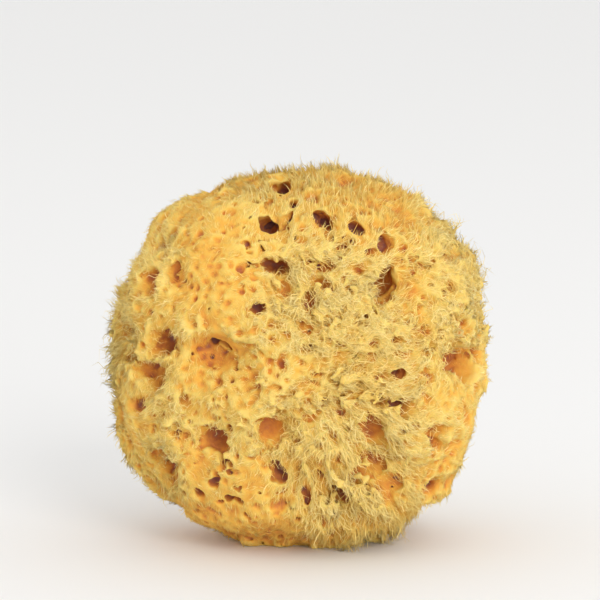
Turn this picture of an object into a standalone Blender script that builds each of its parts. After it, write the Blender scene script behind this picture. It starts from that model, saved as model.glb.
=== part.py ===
"""A natural bath sponge: one lumpy, pitted body, cut flat underneath where it grew on the rock.

Metres, +Z up, with the front of the sponge towards -Y. The origin is in the middle of the cut base.
"""

from collections import namedtuple
import math

import bmesh
import bpy
import numpy as np
from mathutils import Matrix, Vector, noise

MM = 0.001

# The body: side to side, front to back, and from the cut base to the top
WIDTH = 91 * MM
DEPTH = 70 * MM
HEIGHT = 89 * MM
TRIMMED_OFF = 2.0 * MM
SQUARENESS = 2.25
HALF_SIZES = np.array([WIDTH / 2, DEPTH / 2, (HEIGHT + TRIMMED_OFF) / 2])
CENTRE = np.array([0.0, 0.0, HEIGHT - HALF_SIZES[2]])

# Soft folds all over the skin, and shallow hollows with ridges between them. Each finer
# layer of folds is this many times finer than the one before
FOLD_SPACING = 14 * MM
FOLD_RISE = 1.8 * MM
FOLD_SMOOTHNESS = 1.0
FOLD_FINENESS = 2.2
FOLD_LAYERS = 3
HOLLOW_SPACING = 8.0 * MM
HOLLOW_REACH = 0.62
HOLLOW_DEPTH = 2.6 * MM
LEAST_HOLLOW = 0.25

# The front is described as it is seen by someone who looks down on it a little, and each
# place found there is searched for by this many halvings
LOOK_DOWN = math.radians(9)
HALVINGS = 40

# The fineness of the surface that is shaped, and of the one that is kept
SPHERE_CUTS = 7
VOXEL = 0.75 * MM
KEPT_TRIANGLES = 9700

# A swelling, or a valley where its rise is below zero: its middle across and up from the
# body's centre as seen from the front, how far it spreads and how far it rises, in mm
Swelling = namedtuple("Swelling", "across up spread rise")
FRONT_SWELLINGS = (
    Swelling(-17, 14, 12, 3.0),
    Swelling(-25, -3, 6, -3.6),
    Swelling(-16, -1, 5, -2.8),
    Swelling(-3, 8, 9, 1.4),
    Swelling(13, 8, 9, 2.2),
    Swelling(15, 30, 8, 1.2),
    Swelling(-8, -8, 8, 1.8),
    Swelling(7, -20, 8, 3.0),
    Swelling(19, -19, 6, -2.6),
    Swelling(26, -20, 6, 1.6),
    Swelling(21, -33, 7, 2.4),
    Swelling(10, -35, 5, -1.6),
    Swelling(-13, -37, 8, 1.6),
    Swelling(0, -36, 6, 1.2),
)

# A mouth in the front: its middle across and up from the body's centre, how wide and how
# high it is, how deep its canal goes, all in mm, and how far the mouth is turned, in degrees
Mouth = namedtuple("Mouth", "across up wide high deep turn")
FRONT_MOUTHS = (
    # The upper third
    Mouth(-4.2, 39.0, 3.6, 5.0, 7.0, 0),
    Mouth(-17.0, 34.2, 3.6, 2.4, 3.0, 0),
    Mouth(-7.8, 30.4, 6.4, 5.0, 9.0, -20),
    Mouth(5.2, 32.5, 5.0, 3.0, 7.5, -45),
    Mouth(13.9, 29.9, 5.0, 3.0, 6.5, -30),
    Mouth(20.2, 26.2, 2.8, 3.8, 6.0, 15),
    Mouth(-20.0, 21.2, 3.0, 2.2, 3.0, 0),
    Mouth(-5.7, 21.2, 6.8, 3.2, 8.5, -12),
    Mouth(-3.9, 17.0, 3.2, 6.0, 2.6, 10),
    Mouth(5.9, 20.7, 4.4, 2.0, 5.0, 8),
    Mouth(14.8, 20.3, 2.8, 3.4, 4.0, 30),
    Mouth(21.2, 17.4, 5.8, 7.8, 9.5, -10),
    # The middle third
    Mouth(5.2, 16.2, 4.6, 2.6, 5.5, -40),
    Mouth(2.8, 13.2, 2.6, 4.0, 6.0, -20),
    Mouth(19.8, 12.0, 3.0, 5.0, 3.0, 15),
    Mouth(-9.9, 11.1, 3.6, 3.0, 5.0, 0),
    Mouth(1.2, 6.2, 3.0, 2.2, 4.0, -20),
    Mouth(24.0, 3.0, 3.0, 2.4, 4.0, 0),
    Mouth(-20.0, 1.2, 8.2, 5.6, 6.5, -25),
    Mouth(13.0, -6.1, 3.2, 2.4, 4.0, 0),
    Mouth(23.8, -4.7, 3.8, 3.0, 5.5, 0),
    Mouth(18.9, -9.9, 3.6, 3.2, 6.0, 0),
    Mouth(24.4, -12.0, 3.8, 3.6, 6.5, 0),
    # The lower third
    Mouth(2.6, -15.0, 3.6, 2.4, 4.0, 20),
    Mouth(17.0, -16.2, 5.8, 7.8, 8.5, 18),
    Mouth(-6.8, -17.4, 6.6, 6.6, 9.0, 0),
    Mouth(-19.8, -19.1, 7.4, 7.0, 9.0, 25),
    Mouth(16.7, -24.0, 6.6, 4.6, 3.5, 0),
    Mouth(-16.0, -26.4, 3.6, 2.8, 4.0, 0),
    Mouth(-4.4, -28.6, 3.2, 4.8, 6.0, 30),
    Mouth(14.4, -28.6, 4.6, 3.6, 6.5, 0),
    Mouth(5.2, -28.8, 2.2, 3.8, 5.0, 35),
    Mouth(-20.5, -29.4, 3.6, 3.2, 5.0, 20),
    Mouth(9.2, -31.3, 3.2, 5.4, 7.0, 35),
    Mouth(1.9, -32.0, 2.0, 6.8, 4.5, 0),
    Mouth(-16.7, -34.2, 5.6, 4.0, 6.0, 0),
)

# Canals of the front run in and slightly up, so the upper rims hang over them
CANAL_RISE = 0.35

# The described front ends this far to each side, and where the skin turns up or down
FRONT_REACH = 27.5 * MM
FRONT_FACING = 0.33

# The sides, the top and the back have swellings and mouths that are spread by a rule. Sizes
# are in mm, turns in degrees, and a wander is how far a direction strays from its even place
WANDER_SEED = 11
SPREAD_SWELLINGS = 60
SWELLING_WANDER = 0.12
SWELLING_SPREADS = (6, 11)
SWELLING_RISES = (-1.4, 1.8)
SPREAD_MOUTHS = 200
MOUTH_WANDER = 0.07
MOUTH_WIDTHS = (3.4, 4.0, 4.8, 5.8, 7.6)
MOUTH_FLATNESS = (0.65, 1.1)
MOUTH_TURNS = (-60, 60)
CANAL_DEPTH = 1.3
CANAL_WANDER = 0.15
LOWEST_MOUTH = 0.04 * HEIGHT

# A mouth's outline waves in and out by a share of its size, and its rim is soft
RAGGED_WAVES = 3
RAGGED_SHARE = 0.10
RIM_OUTSIDE = 1.12
RIM_WIDTH = 0.5


def body_radius(directions):
    """The distance from the centre to the plain, rounded body along unit directions."""
    powers = (np.abs(directions) / HALF_SIZES) ** SQUARENESS
    return powers.sum(axis=-1) ** (-1 / SQUARENESS)


def front_point(across, up):
    """The point of the plain body that is seen at this place, in mm, from the front."""
    right = np.array([1.0, 0.0, 0.0])
    upward = np.array([0.0, math.sin(LOOK_DOWN), math.cos(LOOK_DOWN)])
    towards_eye = np.array([0.0, -math.cos(LOOK_DOWN), math.sin(LOOK_DOWN)])
    flat = (across * right + up * upward) * MM
    near, far = WIDTH, 0.0
    for _ in range(HALVINGS):
        middle = (near + far) / 2
        point = flat + middle * towards_eye
        distance = np.linalg.norm(point)
        if distance > body_radius(point / distance):
            near = middle
        else:
            far = middle
    return flat + far * towards_eye


def outward(point):
    """The plain body's outward normal at a point of its surface."""
    slope = np.sign(point) * (np.abs(point) / HALF_SIZES) ** (SQUARENESS - 1) / HALF_SIZES
    return slope / np.linalg.norm(slope)


def seen_in_front(point):
    """Whether a point lies in the part of the front that is described by hand."""
    faces_eye = outward(point)[1] < -FRONT_FACING
    return faces_eye and abs(point[0]) < FRONT_REACH


def spread_directions(count, wander, random):
    """Directions evenly spread over a sphere, each moved a little."""
    index = np.arange(count) + 0.5
    height = 1 - 2 * index / count
    turn = index * math.pi * (3 - math.sqrt(5))
    ring = np.sqrt(1 - height**2)
    found = np.stack([ring * np.cos(turn), ring * np.sin(turn), height], axis=1)
    found += random.normal(0, wander, found.shape)
    return found / np.linalg.norm(found, axis=1, keepdims=True)


def swell(points, directions, middle, spread, rise):
    """Raises the points round a middle along their own directions, as a soft mound."""
    away = np.linalg.norm(points - middle, axis=1)
    return directions * (rise * np.exp(-((away / spread) ** 2)))[:, None]


def folds(points, directions):
    """The soft folds of the skin, outwards from each point."""
    heights = np.empty(len(points))
    for index, place in enumerate(points / FOLD_SPACING):
        heights[index] = noise.fractal(
            Vector(place), FOLD_SMOOTHNESS, FOLD_FINENESS, FOLD_LAYERS
        )
    return directions * (FOLD_RISE * heights)[:, None]


def hollows(points, directions):
    """Shallow bowls of uneven depth, side by side, that leave ridges between them."""
    depths = np.empty(len(points))
    for index, place in enumerate(points / HOLLOW_SPACING):
        distances, middles = noise.voronoi(Vector(place))
        bowl = max(0.0, 1 - (distances[0] / HOLLOW_REACH) ** 2)
        share = abs(noise.cell(middles[0]))
        depths[index] = bowl * (LEAST_HOLLOW + (1 - LEAST_HOLLOW) * share)
    return -directions * (HOLLOW_DEPTH * depths)[:, None]


def canal_pull(points, middle, axis, mouth):
    """How far each point is drawn in along a canal's axis: all the way within its mouth."""
    side = np.cross(axis, [0.0, 0.0, 1.0])
    side /= np.linalg.norm(side)
    rise = np.cross(side, axis)
    away = points - middle
    wide, high, deep = mouth.wide * MM, mouth.high * MM, mouth.deep * MM
    turn = math.radians(mouth.turn)
    cosine, sine = math.cos(turn), math.sin(turn)
    along_side, along_rise = away @ side, away @ rise
    first = (along_side * cosine + along_rise * sine) / (wide / 2)
    second = (along_rise * cosine - along_side * sine) / (high / 2)
    waves = np.sin(RAGGED_WAVES * np.arctan2(second, first) + middle[0] / MM)
    rim = np.hypot(first, second) / (1 + RAGGED_SHARE * waves)
    wall = np.clip((RIM_OUTSIDE - rim) / RIM_WIDTH, 0, 1)
    near = np.linalg.norm(away, axis=1) < 2 * max(wide, high)
    return np.where(near, deep * wall * wall * (3 - 2 * wall), 0)


def swellings(points, directions, random):
    """The swellings and valleys of the front, and those spread over the rest."""
    moved = np.zeros_like(points)
    for item in FRONT_SWELLINGS:
        middle = front_point(item.across, item.up)
        moved += swell(points, directions, middle, item.spread * MM, item.rise * MM)
    for direction in spread_directions(SPREAD_SWELLINGS, SWELLING_WANDER, random):
        middle = direction * body_radius(direction)
        spread = random.uniform(*SWELLING_SPREADS) * MM
        rise = random.uniform(*SWELLING_RISES) * MM
        if not seen_in_front(middle):
            moved += swell(points, directions, middle, spread, rise)
    return moved


def canals(random):
    """Each canal: the middle of its mouth, its axis, and its Mouth with the sizes."""
    found = []
    for item in FRONT_MOUTHS:
        middle = front_point(item.across, item.up)
        axis = -outward(middle) + np.array([0.0, 0.0, CANAL_RISE])
        found.append((middle, axis, item))
    for direction in spread_directions(SPREAD_MOUTHS, MOUTH_WANDER, random):
        middle = direction * body_radius(direction)
        wide = random.choice(MOUTH_WIDTHS)
        high = wide * random.uniform(*MOUTH_FLATNESS)
        turn = random.uniform(*MOUTH_TURNS)
        axis = -outward(middle) + random.normal(0, CANAL_WANDER, 3)
        at_the_cut = middle[2] + CENTRE[2] < LOWEST_MOUTH
        if not seen_in_front(middle) and not at_the_cut:
            found.append((middle, axis, Mouth(0, 0, wide, high, CANAL_DEPTH * wide, turn)))
    return found


def shaped(directions):
    """The points of the sponge's surface along these directions from its centre."""
    random = np.random.default_rng(WANDER_SEED)
    plain = directions * body_radius(directions)[:, None]
    points = plain + folds(plain, directions) + hollows(plain, directions)
    points += swellings(plain, directions, random)
    deepest = np.zeros(len(points))
    pulled = np.zeros_like(points)
    for middle, axis, mouth in canals(random):
        axis = axis / np.linalg.norm(axis)
        pull = canal_pull(plain, middle, axis, mouth)
        deeper = pull > deepest
        deepest = np.where(deeper, pull, deepest)
        pulled = np.where(deeper[:, None], pull[:, None] * axis, pulled)
    return points + pulled


def sponge_mesh():
    """A fine ball whose points are moved to the sponge's surface."""
    ball = bmesh.new()
    bmesh.ops.create_icosphere(ball, subdivisions=SPHERE_CUTS, radius=1.0)
    mesh = bpy.data.meshes.new("sponge")
    ball.to_mesh(mesh)
    ball.free()
    directions = np.empty(len(mesh.vertices) * 3, np.float32)
    mesh.vertices.foreach_get("co", directions)
    directions = directions.reshape(-1, 3).astype(float)
    directions /= np.linalg.norm(directions, axis=1, keepdims=True)
    points = shaped(directions) + CENTRE
    mesh.vertices.foreach_set("co", points.astype(np.float32).ravel())
    mesh.update()
    return mesh


def golden_fibre():
    """The dry, golden skeleton of the sponge."""
    material = bpy.data.materials.new("golden_fibre")
    material.use_nodes = True
    shader = material.node_tree.nodes["Principled BSDF"]
    shader.inputs["Base Color"].default_value = (0.80, 0.55, 0.16, 1)
    shader.inputs["Roughness"].default_value = 0.95
    shader.inputs["Metallic"].default_value = 0.0
    return material


def collection_of(name):
    made = bpy.data.collections.new(name)
    bpy.context.scene.collection.children.link(made)
    return made


def base_cutter(collection):
    """The knife that trims the foot of the sponge: everything below z = 0 goes."""
    block = bmesh.new()
    bmesh.ops.create_cube(block, size=2 * WIDTH, matrix=Matrix.Translation((0, 0, -WIDTH)))
    mesh = bpy.data.meshes.new("base_cutter")
    block.to_mesh(mesh)
    block.free()
    cutter = bpy.data.objects.new("base_cutter", mesh)
    cutter.hide_render = True
    cutter.display_type = "WIRE"
    collection.objects.link(cutter)
    return cutter


def main():
    for old in list(bpy.data.objects):
        bpy.data.objects.remove(old)
    sponge = bpy.data.objects.new("sponge", sponge_mesh())
    sponge.data.materials.append(golden_fibre())
    collection_of("sea_sponge").objects.link(sponge)

    evened = sponge.modifiers.new("evened", "REMESH")
    evened.mode = "VOXEL"
    evened.voxel_size = VOXEL
    bpy.context.view_layer.update()
    fine = sponge.evaluated_get(bpy.context.evaluated_depsgraph_get())
    coarser = sponge.modifiers.new("coarser", "DECIMATE")
    coarser.ratio = KEPT_TRIANGLES / sum(len(f.vertices) - 2 for f in fine.data.polygons)
    coarser.use_collapse_triangulate = True
    trimmed = sponge.modifiers.new("trimmed", "BOOLEAN")
    trimmed.operation = "DIFFERENCE"
    trimmed.object = base_cutter(collection_of("cutters"))


main()
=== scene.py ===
"""The looks of a natural bath sponge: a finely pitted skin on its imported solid, and its fibres."""

from collections import namedtuple
import math

import bpy
import numpy as np
import openvdb
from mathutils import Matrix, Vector, kdtree
from mathutils.bvhtree import BVHTree


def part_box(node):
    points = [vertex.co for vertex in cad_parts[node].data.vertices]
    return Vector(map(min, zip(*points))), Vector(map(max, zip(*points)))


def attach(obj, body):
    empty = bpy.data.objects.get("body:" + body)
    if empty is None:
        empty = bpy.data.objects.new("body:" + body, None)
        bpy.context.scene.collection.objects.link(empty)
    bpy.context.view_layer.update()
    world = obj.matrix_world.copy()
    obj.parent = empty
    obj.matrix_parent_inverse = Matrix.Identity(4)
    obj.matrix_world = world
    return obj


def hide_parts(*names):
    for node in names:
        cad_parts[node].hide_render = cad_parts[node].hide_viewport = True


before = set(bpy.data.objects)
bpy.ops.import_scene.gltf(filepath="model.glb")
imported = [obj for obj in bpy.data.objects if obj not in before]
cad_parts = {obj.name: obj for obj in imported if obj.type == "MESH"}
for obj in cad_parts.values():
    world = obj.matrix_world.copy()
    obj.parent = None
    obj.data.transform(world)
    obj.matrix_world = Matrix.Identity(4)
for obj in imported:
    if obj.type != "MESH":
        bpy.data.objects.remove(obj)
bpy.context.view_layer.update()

MM = 0.001

# The photograph's view: it looks down on the sponge from the front, from well away
BODY_MIDDLE = np.array([0.0, 0.0, 44.5 * MM])
EYE = BODY_MIDDLE + np.array([0.0, -789 * MM, 120 * MM])
AIM_ABOVE_MIDDLE = 13 * MM
LENS = 200.8
SENSOR = 36.0

# How large the stretches of each kind of surface, its folds, its lumps and its roughness are
MIX_SIZE = 16 * MM
FOLD_SIZE = 5.5 * MM
LUMP_SIZE = 2.4 * MM
ROUGH_SIZE = 0.95 * MM

# The grid on which the skin is shaped, and a wider one for its broad forms
VOXEL = 0.33 * MM
COARSE_STEPS = 2
MARGIN = 4 * MM
KNOWN_STEPS = 14

# The broad form: fine facets are rounded off, and the front is filled before it is carved
ROUNDING = 0.9
CLOSING = 4.0 * MM
HULL_ROUNDING = 4.0
INSET = 0.8 * MM
# At the foot the skin has no inset and reaches a little past the cut, so that it is cut flat there
FOOT_HIGH = 4 * MM
FOOT_SUNK = 0.6 * MM

SKIN_TRIANGLES = 130000
SEED = 5


def unit(vectors):
    """Vectors of length one."""
    lengths = np.linalg.norm(vectors, axis=-1, keepdims=True)
    return vectors / np.maximum(lengths, 1e-12)


def smooth_step(values, low, high):
    """Zero below low, one above high, and a soft rise between."""
    share = np.clip((values - low) / (high - low), 0, 1)
    return share * share * (3 - 2 * share)


# Grids of numbers

class Grid:
    """Numbers at evenly spaced points of the box around the sponge."""

    def __init__(self, values, step):
        self.values = values
        self.step = step

    def at(self, points):
        """The numbers at these points, read between those of the grid."""
        places = (points - ORIGIN) / self.step
        limit = np.array(self.values.shape) - 2
        low = np.clip(np.floor(places).astype(np.int32), 0, limit)
        share = np.clip(places - low, 0, 1)
        total = np.zeros(len(points))
        for corner in np.ndindex(2, 2, 2):
            weight = np.prod(np.where(corner, share, 1 - share), axis=1)
            i, j, k = (low + corner).T
            total += weight * self.values[i, j, k]
        return total

    def slope(self, points):
        """The direction in which the numbers rise."""
        found = np.empty((len(points), 3))
        for axis in range(3):
            offset = np.zeros(3)
            offset[axis] = self.step
            found[:, axis] = self.at(points + offset) - self.at(points - offset)
        return unit(found)


def box_of_grid():
    """Where the grid starts, and how many points it has along each axis."""
    low, high = (np.array(corner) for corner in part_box("sponge"))
    origin = low - MARGIN
    counts = np.ceil((high + MARGIN - origin) / VOXEL).astype(int) + 1
    counts += (-counts + 1) % COARSE_STEPS
    return origin, tuple(int(count) for count in counts)


ORIGIN, COUNTS = box_of_grid()
COARSE = VOXEL * COARSE_STEPS
COARSE_COUNTS = tuple((count - 1) // COARSE_STEPS + 1 for count in COUNTS)


def stretched(values, count, spacing, axis):
    """Values of a wide lattice read at finer steps along one axis, with soft curves between."""
    places = np.arange(count) / spacing
    first = np.floor(places).astype(int)
    share = (places - first)[:, None, None].astype(np.float32)
    weights = (
        (1 - share) ** 3 / 6,
        (3 * share**3 - 6 * share**2 + 4) / 6,
        (-3 * share**3 + 3 * share**2 + 3 * share + 1) / 6,
        share**3 / 6,
    )
    values = np.moveaxis(values, axis, 0)
    total = sum(weight * values[first + k] for k, weight in enumerate(weights))
    return np.moveaxis(total, 0, axis)


def soft_noise(random, size, counts, step):
    """Soft random numbers, about -1 to 1, whose lumps are of this size."""
    spacing = size / step
    shape = [int(count / spacing) + 5 for count in counts]
    values = random.normal(0, 1, shape).astype(np.float32) * 3
    for axis in range(3):
        values = stretched(values, counts[axis], spacing, axis)
    return Grid(np.ascontiguousarray(values), step)


def blurred(values, spread):
    """Values blurred by a spread in steps of their grid."""
    reach = int(3 * spread) + 1
    offsets = np.arange(-reach, reach + 1)
    weights = np.exp(-0.5 * (offsets / spread) ** 2)
    weights /= weights.sum()
    for axis in range(3):
        edges = [(reach, reach) if axis == other else (0, 0) for other in range(3)]
        padded = np.pad(values, edges, mode="edge")
        count = values.shape[axis]
        values = sum(
            np.float32(weight) * np.take(padded, range(start, start + count), axis)
            for start, weight in enumerate(weights)
        )
    return values


def distances(points, triangles=None, quads=None):
    """The distance from a closed surface, below zero inside, on the wide grid."""
    places = ((points - ORIGIN) / COARSE).astype(np.float32)
    volume = openvdb.FloatGrid.createLevelSetFromPolygons(
        places, triangles=triangles, quads=quads, halfWidth=KNOWN_STEPS
    )
    values = np.empty(COARSE_COUNTS, np.float32)
    volume.copyToArray(values)
    return values * COARSE


def surface(values, step, level=0.0):
    """The points and four-sided faces where a grid's numbers cross a level."""
    volume = openvdb.FloatGrid(float(values.max()))
    volume.copyFromArray(values.astype(np.float32))
    points, triangles, quads = volume.convertToPolygons(isovalue=level)
    return points * step + ORIGIN, quads


def cad_surface(node):
    """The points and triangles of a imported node."""
    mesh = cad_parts[node].data
    points = np.empty(len(mesh.vertices) * 3, np.float32)
    mesh.vertices.foreach_get("co", points)
    mesh.calc_loop_triangles()
    corners = np.empty(len(mesh.loop_triangles) * 3, np.int32)
    mesh.loop_triangles.foreach_get("vertices", corners)
    return points.reshape(-1, 3), corners.reshape(-1, 3).astype(np.uint32)


# The photograph's view

def view_axes():
    """The directions to the right, up and towards the eye in the photograph's view."""
    towards = unit(EYE - BODY_MIDDLE)
    right = np.array([1.0, 0.0, 0.0])
    return right, np.cross(towards, right), towards


RIGHT, UPWARD, TOWARDS = view_axes()


def seen_at(points):
    """How far across and up from the body's middle points are seen, in mm at its middle."""
    away = points - EYE
    depth = -(away @ TOWARDS)
    scale = np.linalg.norm(EYE - BODY_MIDDLE) / depth / MM
    return (away @ RIGHT) * scale, (away @ UPWARD) * scale


def make_camera():
    """The camera of the photograph's view."""
    data = bpy.data.cameras.new("camera")
    data.lens = LENS
    data.sensor_width = SENSOR
    data.clip_start = 0.05
    data.clip_end = 20
    camera = bpy.data.objects.new("camera", data)
    bpy.context.scene.collection.objects.link(camera)
    camera.location = EYE
    aim = BODY_MIDDLE + UPWARD * AIM_ABOVE_MIDDLE
    camera.rotation_euler = Vector(aim - EYE).to_track_quat("-Z", "Y").to_euler()
    bpy.context.scene.camera = camera


make_camera()


# The kinds of surface, as the photograph shows them

# How a stretch of the surface is: how far apart its small pits are and how wide and deep, how
# rough it is between them, and its fibres: how many to a square millimetre, how long, how far
# they lean over, how wide their tufts are and how strongly they draw together, their curl, and
# how much paler than elsewhere it all is. That last is partly each kind's own tone and partly
# painted light and shade: the matted middle is painted paler and the velvet top painted darker
Style = namedtuple("Style", "apart wide deep rough many long lean tuft draw curl paler")
FELT = Style(2.4, 1.1, 1.0, 0.14, 3.6, 1.2, 0.82, 1.2, 0.60, 0.2, -0.06)
HONEYCOMB = Style(1.9, 1.4, 1.6, 0.24, 3.2, 1.3, 0.65, 1.0, 0.65, 0.5, 0.02)
MATTED = Style(2.9, 1.7, 2.0, 0.38, 3.4, 2.0, 0.72, 1.5, 0.75, 1.0, 0.16)
TUFTED = Style(4.0, 1.9, 2.6, 0.42, 4.0, 2.7, 0.68, 1.9, 0.80, 0.6, 0.00)
VELVET = Style(3.0, 1.6, 2.0, 0.34, 3.6, 1.9, 0.40, 1.5, 0.85, 0.2, -0.12)
KINDS = (FELT, HONEYCOMB, MATTED, TUFTED, VELVET)

# How common each kind is where the photograph shows nothing
UNSEEN_SHARES = (1.2, 1.2, 1.3, 0.2, 0.4)

# Where each kind shows in the front: its middle across and up from the body's middle and how
# far it reaches each way, in mm
Patch = namedtuple("Patch", "style across up wide high")
FRONT_PATCHES = (
    Patch(FELT, -18, 26, 10, 12),
    Patch(FELT, -17, 12, 9, 8),
    Patch(FELT, -14, -36, 13, 8),
    Patch(HONEYCOMB, -17, -10, 12, 7),
    Patch(HONEYCOMB, -4, -5, 8, 7),
    Patch(MATTED, 2, 10, 12, 11),
    Patch(MATTED, 14, 12, 9, 10),
    Patch(MATTED, 2, -14, 10, 7),
    Patch(TUFTED, 16, -18, 10, 12),
    Patch(TUFTED, 10, -32, 12, 9),
    Patch(TUFTED, 22, -30, 8, 10),
    Patch(VELVET, -2, 42, 14, 6),
    Patch(VELVET, 18, 34, 10, 8),
    Patch(VELVET, 28, 20, 6, 16),
)


def front_share(points, outward):
    """One where a point belongs to the front that the photograph shows, zero elsewhere."""
    across, _ = seen_at(points)
    facing = outward @ TOWARDS
    return smooth_step(facing, -0.30, -0.05) * (1 - smooth_step(np.abs(across), 25, 31))


def styles_at(points, outward, mixes):
    """The mixed style at each point, as one row of a Style's numbers each."""
    across, up = seen_at(points)
    front = front_share(points, outward)[:, None]
    shares, rows = [], []
    for patch in FRONT_PATCHES:
        far = ((across - patch.across) / patch.wide) ** 2 + ((up - patch.up) / patch.high) ** 2
        shares.append(np.exp(-far) ** 1.5 + 1e-9)
        rows.append(patch.style)
    shares = np.array(shares).T
    shown = shares @ np.array(rows) / shares.sum(axis=1, keepdims=True)
    shares = np.array([np.exp(2.2 * mix.at(points)) for mix in mixes]).T * UNSEEN_SHARES
    unseen = shares @ np.array(KINDS) / shares.sum(axis=1, keepdims=True)
    return front * shown + (1 - front) * unseen


# The fans of the lower right spread from a place, across and up in mm, as grooves and fibres:
# how many grooves a turn would hold, coarse and fine, and how deep they are
FAN_ACROSS = 1.0
FAN_UP = -7.0
FAN_GROOVES = (27, 61)
FAN_DEPTH = 0.75 * MM

# How the fibres of the front are combed: a place, across and up in mm, and the way they lean
# there, across and up; each tells as far as COMB_REACH or so, in mm
Comb = namedtuple("Comb", "across up to_side to_top")
COMBS = (
    Comb(-15, 39, -0.4, 0.9),
    Comb(0, 42, 0.0, 1.2),
    Comb(16, 34, 0.5, 0.9),
    Comb(27, 22, 1.0, 0.3),
    Comb(-20, 22, 0.2, -0.4),
    Comb(-14, 13, 0.6, -0.6),
    Comb(-23, 6, -0.6, -0.8),
    Comb(-11, 2, 0.5, -0.7),
    Comb(-18, -4, 0.1, -0.9),
    Comb(-2, 13, 0.3, -0.9),
    Comb(7, 13, 0.9, -0.4),
    Comb(17, 6, 0.9, -0.2),
    Comb(7, -1, 0.8, 0.2),
    Comb(18, -7, 0.8, 0.4),
    Comb(-7, -10, 0.7, -0.3),
    Comb(3, -10, 0.8, -0.2),
    Comb(-16, -14, 0.3, -0.6),
    Comb(8, -18, 0.5, -0.7),
    Comb(0, -25, 0.1, -1.1),
    Comb(-10, -25, -0.4, -0.6),
    Comb(12, -29, 0.6, -1.0),
    Comb(20, -31, 1.0, -0.9),
    Comb(22, -19, 0.4, -0.9),
    Comb(-14, -39, 0.1, -0.6),
    Comb(5, -39, 0.3, -1.0),
)
COMB_REACH = 5.0

# This share of the fibres over a hollow keeps its length
OVER_HOLLOWS = 0.07


def combed(across, up):
    """The way in which the fibres of the front lean at each place."""
    total, weights = 0, 1e-9
    for comb in COMBS:
        far = np.hypot(across - comb.across, up - comb.up)
        weight = np.exp(-((far / COMB_REACH) ** 2) / 2) + 0.002 * np.exp(-far / 20)
        total = total + weight[:, None] * (comb.to_side * RIGHT + comb.to_top * UPWARD)
        weights = weights + weight
    return total / weights[:, None]


def fan_share(across, up):
    """How strongly a place belongs to the fans of the lower right."""
    shares = [
        np.exp(-((across - patch.across) / patch.wide) ** 2 - ((up - patch.up) / patch.high) ** 2)
        for patch in FRONT_PATCHES if patch.style is TUFTED
    ]
    return np.clip(1.3 * np.max(shares, axis=0), 0, 1)


def rough_amounts(hull, mixes):
    """How rough the skin is, in metres, on the wide grid near the surface."""
    near = np.argwhere(np.abs(hull.values) < 5 * MM)
    places = near * COARSE + ORIGIN
    amounts = np.full(COARSE_COUNTS, 0.3 * MM, np.float32)
    amounts[tuple(near.T)] = styles_at(places, hull.slope(places), mixes)[:, 3] * MM
    return Grid(amounts, COARSE)


def comb_grooves(field, waves):
    """Cuts the grooves between the fans into the front's lower right."""
    near = np.argwhere(np.abs(field[:, : COUNTS[1] // 2]) < 4 * MM)
    places = near * VOXEL + ORIGIN
    across, up = seen_at(places)
    share = fan_share(across, up)
    chosen = share > 0.05
    near, across, up, share = near[chosen], across[chosen], up[chosen], share[chosen]
    spot = tuple(near.T)
    turn = np.arctan2(up - FAN_UP, across - FAN_ACROSS)
    wave = waves[spot]
    coarse, fine = FAN_GROOVES
    relief = 0.62 * np.sin(coarse * turn + 1.1 * wave) + 0.38 * np.sin(fine * turn + 1.7 * wave)
    field[spot] += FAN_DEPTH * share * relief.astype(np.float32)


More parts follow.
